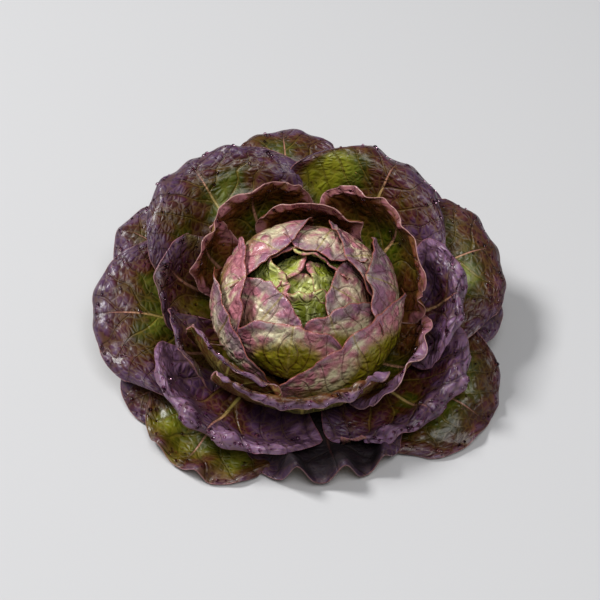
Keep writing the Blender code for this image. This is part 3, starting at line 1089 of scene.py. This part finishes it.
def drop_places(look, seed):
    """Seeded places on the upper faces of the ring leaves, most of them towards the rims."""
    rng = np.random.default_rng(seed)
    rings = (LETTUCE_OT_outer, LETTUCE_OT_second, LETTUCE_OT_wrapper)
    spots = [(ring, number) for ring in rings for number in range(len(ring.leaves))]
    shares = np.array([ring.wetness * half_width_mm(ring.leaves[number])
                       * (ring.leaves[number].glow[3] > DRY_GLOW) for ring, number in spots])
    counts = rng.multinomial(look.drops, shares / shares.sum())
    for (ring, number), count in zip(spots, counts):
        u = rng.uniform(-DROPS_ACROSS, DROPS_ACROSS, count)
        v = DROPS_TOP - DROPS_RUN * rng.random(count) ** 2.0
        seed_here = ring.first_seed + 10 * number
        _, points, inward = surface(ring.leaves[number], u, v, look, ring.form, seed_here)
        for point, normal in zip(points, inward):
            yield point, normal, rng.lognormal(0.0, DROP_SPREAD)


class LETTUCE_OT_drops(bpy.types.Operator):
    """Scatter water drops over the upper faces of the ring leaves"""
    bl_idname = "lettuce.drops"
    bl_label = "Water Drops"
    bl_options = {"REGISTER", "UNDO"}

    def execute(self, context):
        look = context.scene.lettuce_look
        ball = bmesh.new()
        bmesh.ops.create_uvsphere(ball, u_segments=8, v_segments=5, radius=1.0)
        one = bpy.data.meshes.new("drop")
        ball.to_mesh(one)
        ball.free()
        drop = vertex_points(one) * (1.0, 1.0, DROP_FLATNESS)
        shape = bmesh.new()
        for point, normal, share in drop_places(look, DROP_SEED):
            radius = look.drop_radius * min(share, LARGEST_DROP)
            turn = np.array(Vector(normal).to_track_quat("Z", "Y").to_matrix())
            here = drop @ turn.T * radius + point + normal * radius * DROP_RISE
            one.vertices.foreach_set("co", here.ravel())
            shape.from_mesh(one)
        mesh = bpy.data.meshes.new("water_drops")
        shape.to_mesh(mesh)
        shape.free()
        bpy.data.meshes.remove(one)
        mesh.shade_smooth()
        mesh.materials.append(water_skin(context.scene.lettuce_colours))
        drops = new_object("water_drops", mesh)
        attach(drops, "root")
        return {"FINISHED"}


# The stage, in watts and metres. Each light is (name, power, size, place).
LIGHTS = (("key", 70.0, 0.8, (-1.7, 0.7, 2.4)), ("overhead", 16.5, 0.9, (0.25, -0.8, 1.9)))
LIGHT_AIM = Vector((0.0, 0.0, 0.05))
FLOOR_REACH = 4.0
SKY_COLOUR = (0.94, 0.95, 1.0, 1.0)
SKY_STRENGTH = 0.12
CAMERA_ELEVATION = math.radians(47.0)
CAMERA_DISTANCE = 0.93
CAMERA_AIM = Vector((0.0, -0.012, 0.045))
CAMERA_LENS = 85.0


class LETTUCE_OT_stage(bpy.types.Operator):
    """Set up the pale floor, the soft lights and the camera"""
    bl_idname = "lettuce.stage"
    bl_label = "Stage"
    bl_options = {"REGISTER", "UNDO"}

    def execute(self, context):
        scene = context.scene
        scene.view_settings.view_transform = "Standard"
        mesh = grid_mesh("floor", 1, 1, FLOOR_REACH)
        paint = Paint("floor")
        mesh.materials.append(paint.finish(srgb(214, 214, 215), 0.9, Specular_IOR_Level=0.1))
        floor = new_object("floor", mesh)
        world = bpy.data.worlds.new("studio")
        world.use_nodes = True
        sky = world.node_tree.nodes["Background"].inputs
        sky["Color"].default_value = SKY_COLOUR
        sky["Strength"].default_value = SKY_STRENGTH
        scene.world = world
        for name, power, size, place in LIGHTS:
            light = bpy.data.lights.new(name, "AREA")
            light.energy = power
            light.size = size
            lamp = new_object(name, light)
            lamp.location = place
            turn_towards(lamp, LIGHT_AIM - Vector(place))
        camera = new_object("camera", bpy.data.cameras.new("camera"))
        camera.data.lens = CAMERA_LENS
        back = Vector((0.0, -math.cos(CAMERA_ELEVATION), math.sin(CAMERA_ELEVATION)))
        camera.location = CAMERA_AIM + back * CAMERA_DISTANCE
        turn_towards(camera, -back)
        scene.camera = camera
        return {"FINISHED"}


OPERATORS = (LETTUCE_OT_stem, LETTUCE_OT_outer, LETTUCE_OT_second, LETTUCE_OT_wrapper,
             LETTUCE_OT_heart, LETTUCE_OT_centre, LETTUCE_OT_drops, LETTUCE_OT_stage)


class LETTUCE_PT_panel(bpy.types.Panel):
    """The head's operators and values"""
    bl_label = "Red Butterhead Lettuce"
    bl_idname = "LETTUCE_PT_panel"
    bl_space_type = "VIEW_3D"
    bl_region_type = "UI"
    bl_category = "Lettuce"

    def draw(self, context):
        for operator in OPERATORS:
            self.layout.operator(operator.bl_idname)
        for group in (context.scene.lettuce_look, context.scene.lettuce_colours):
            for name in group.bl_rna.properties.keys():
                if name not in ("rna_type", "name"):
                    self.layout.prop(group, name)


CLASSES = (LettuceLook, LettuceColours, *OPERATORS, LETTUCE_PT_panel)


def register():
    for made in CLASSES:
        bpy.utils.register_class(made)
    bpy.types.Scene.lettuce_look = PointerProperty(type=LettuceLook)
    bpy.types.Scene.lettuce_colours = PointerProperty(type=LettuceColours)


def unregister():
    del bpy.types.Scene.lettuce_colours
    del bpy.types.Scene.lettuce_look
    for made in reversed(CLASSES):
        bpy.utils.unregister_class(made)


def main():
    register()
    bpy.ops.lettuce.stem()
    bpy.ops.lettuce.outer()
    bpy.ops.lettuce.second()
    bpy.ops.lettuce.wrapper()
    bpy.ops.lettuce.heart()
    bpy.ops.lettuce.centre()
    bpy.ops.lettuce.drops()
    bpy.ops.lettuce.stage()


if __name__ == "__main__":
    main()
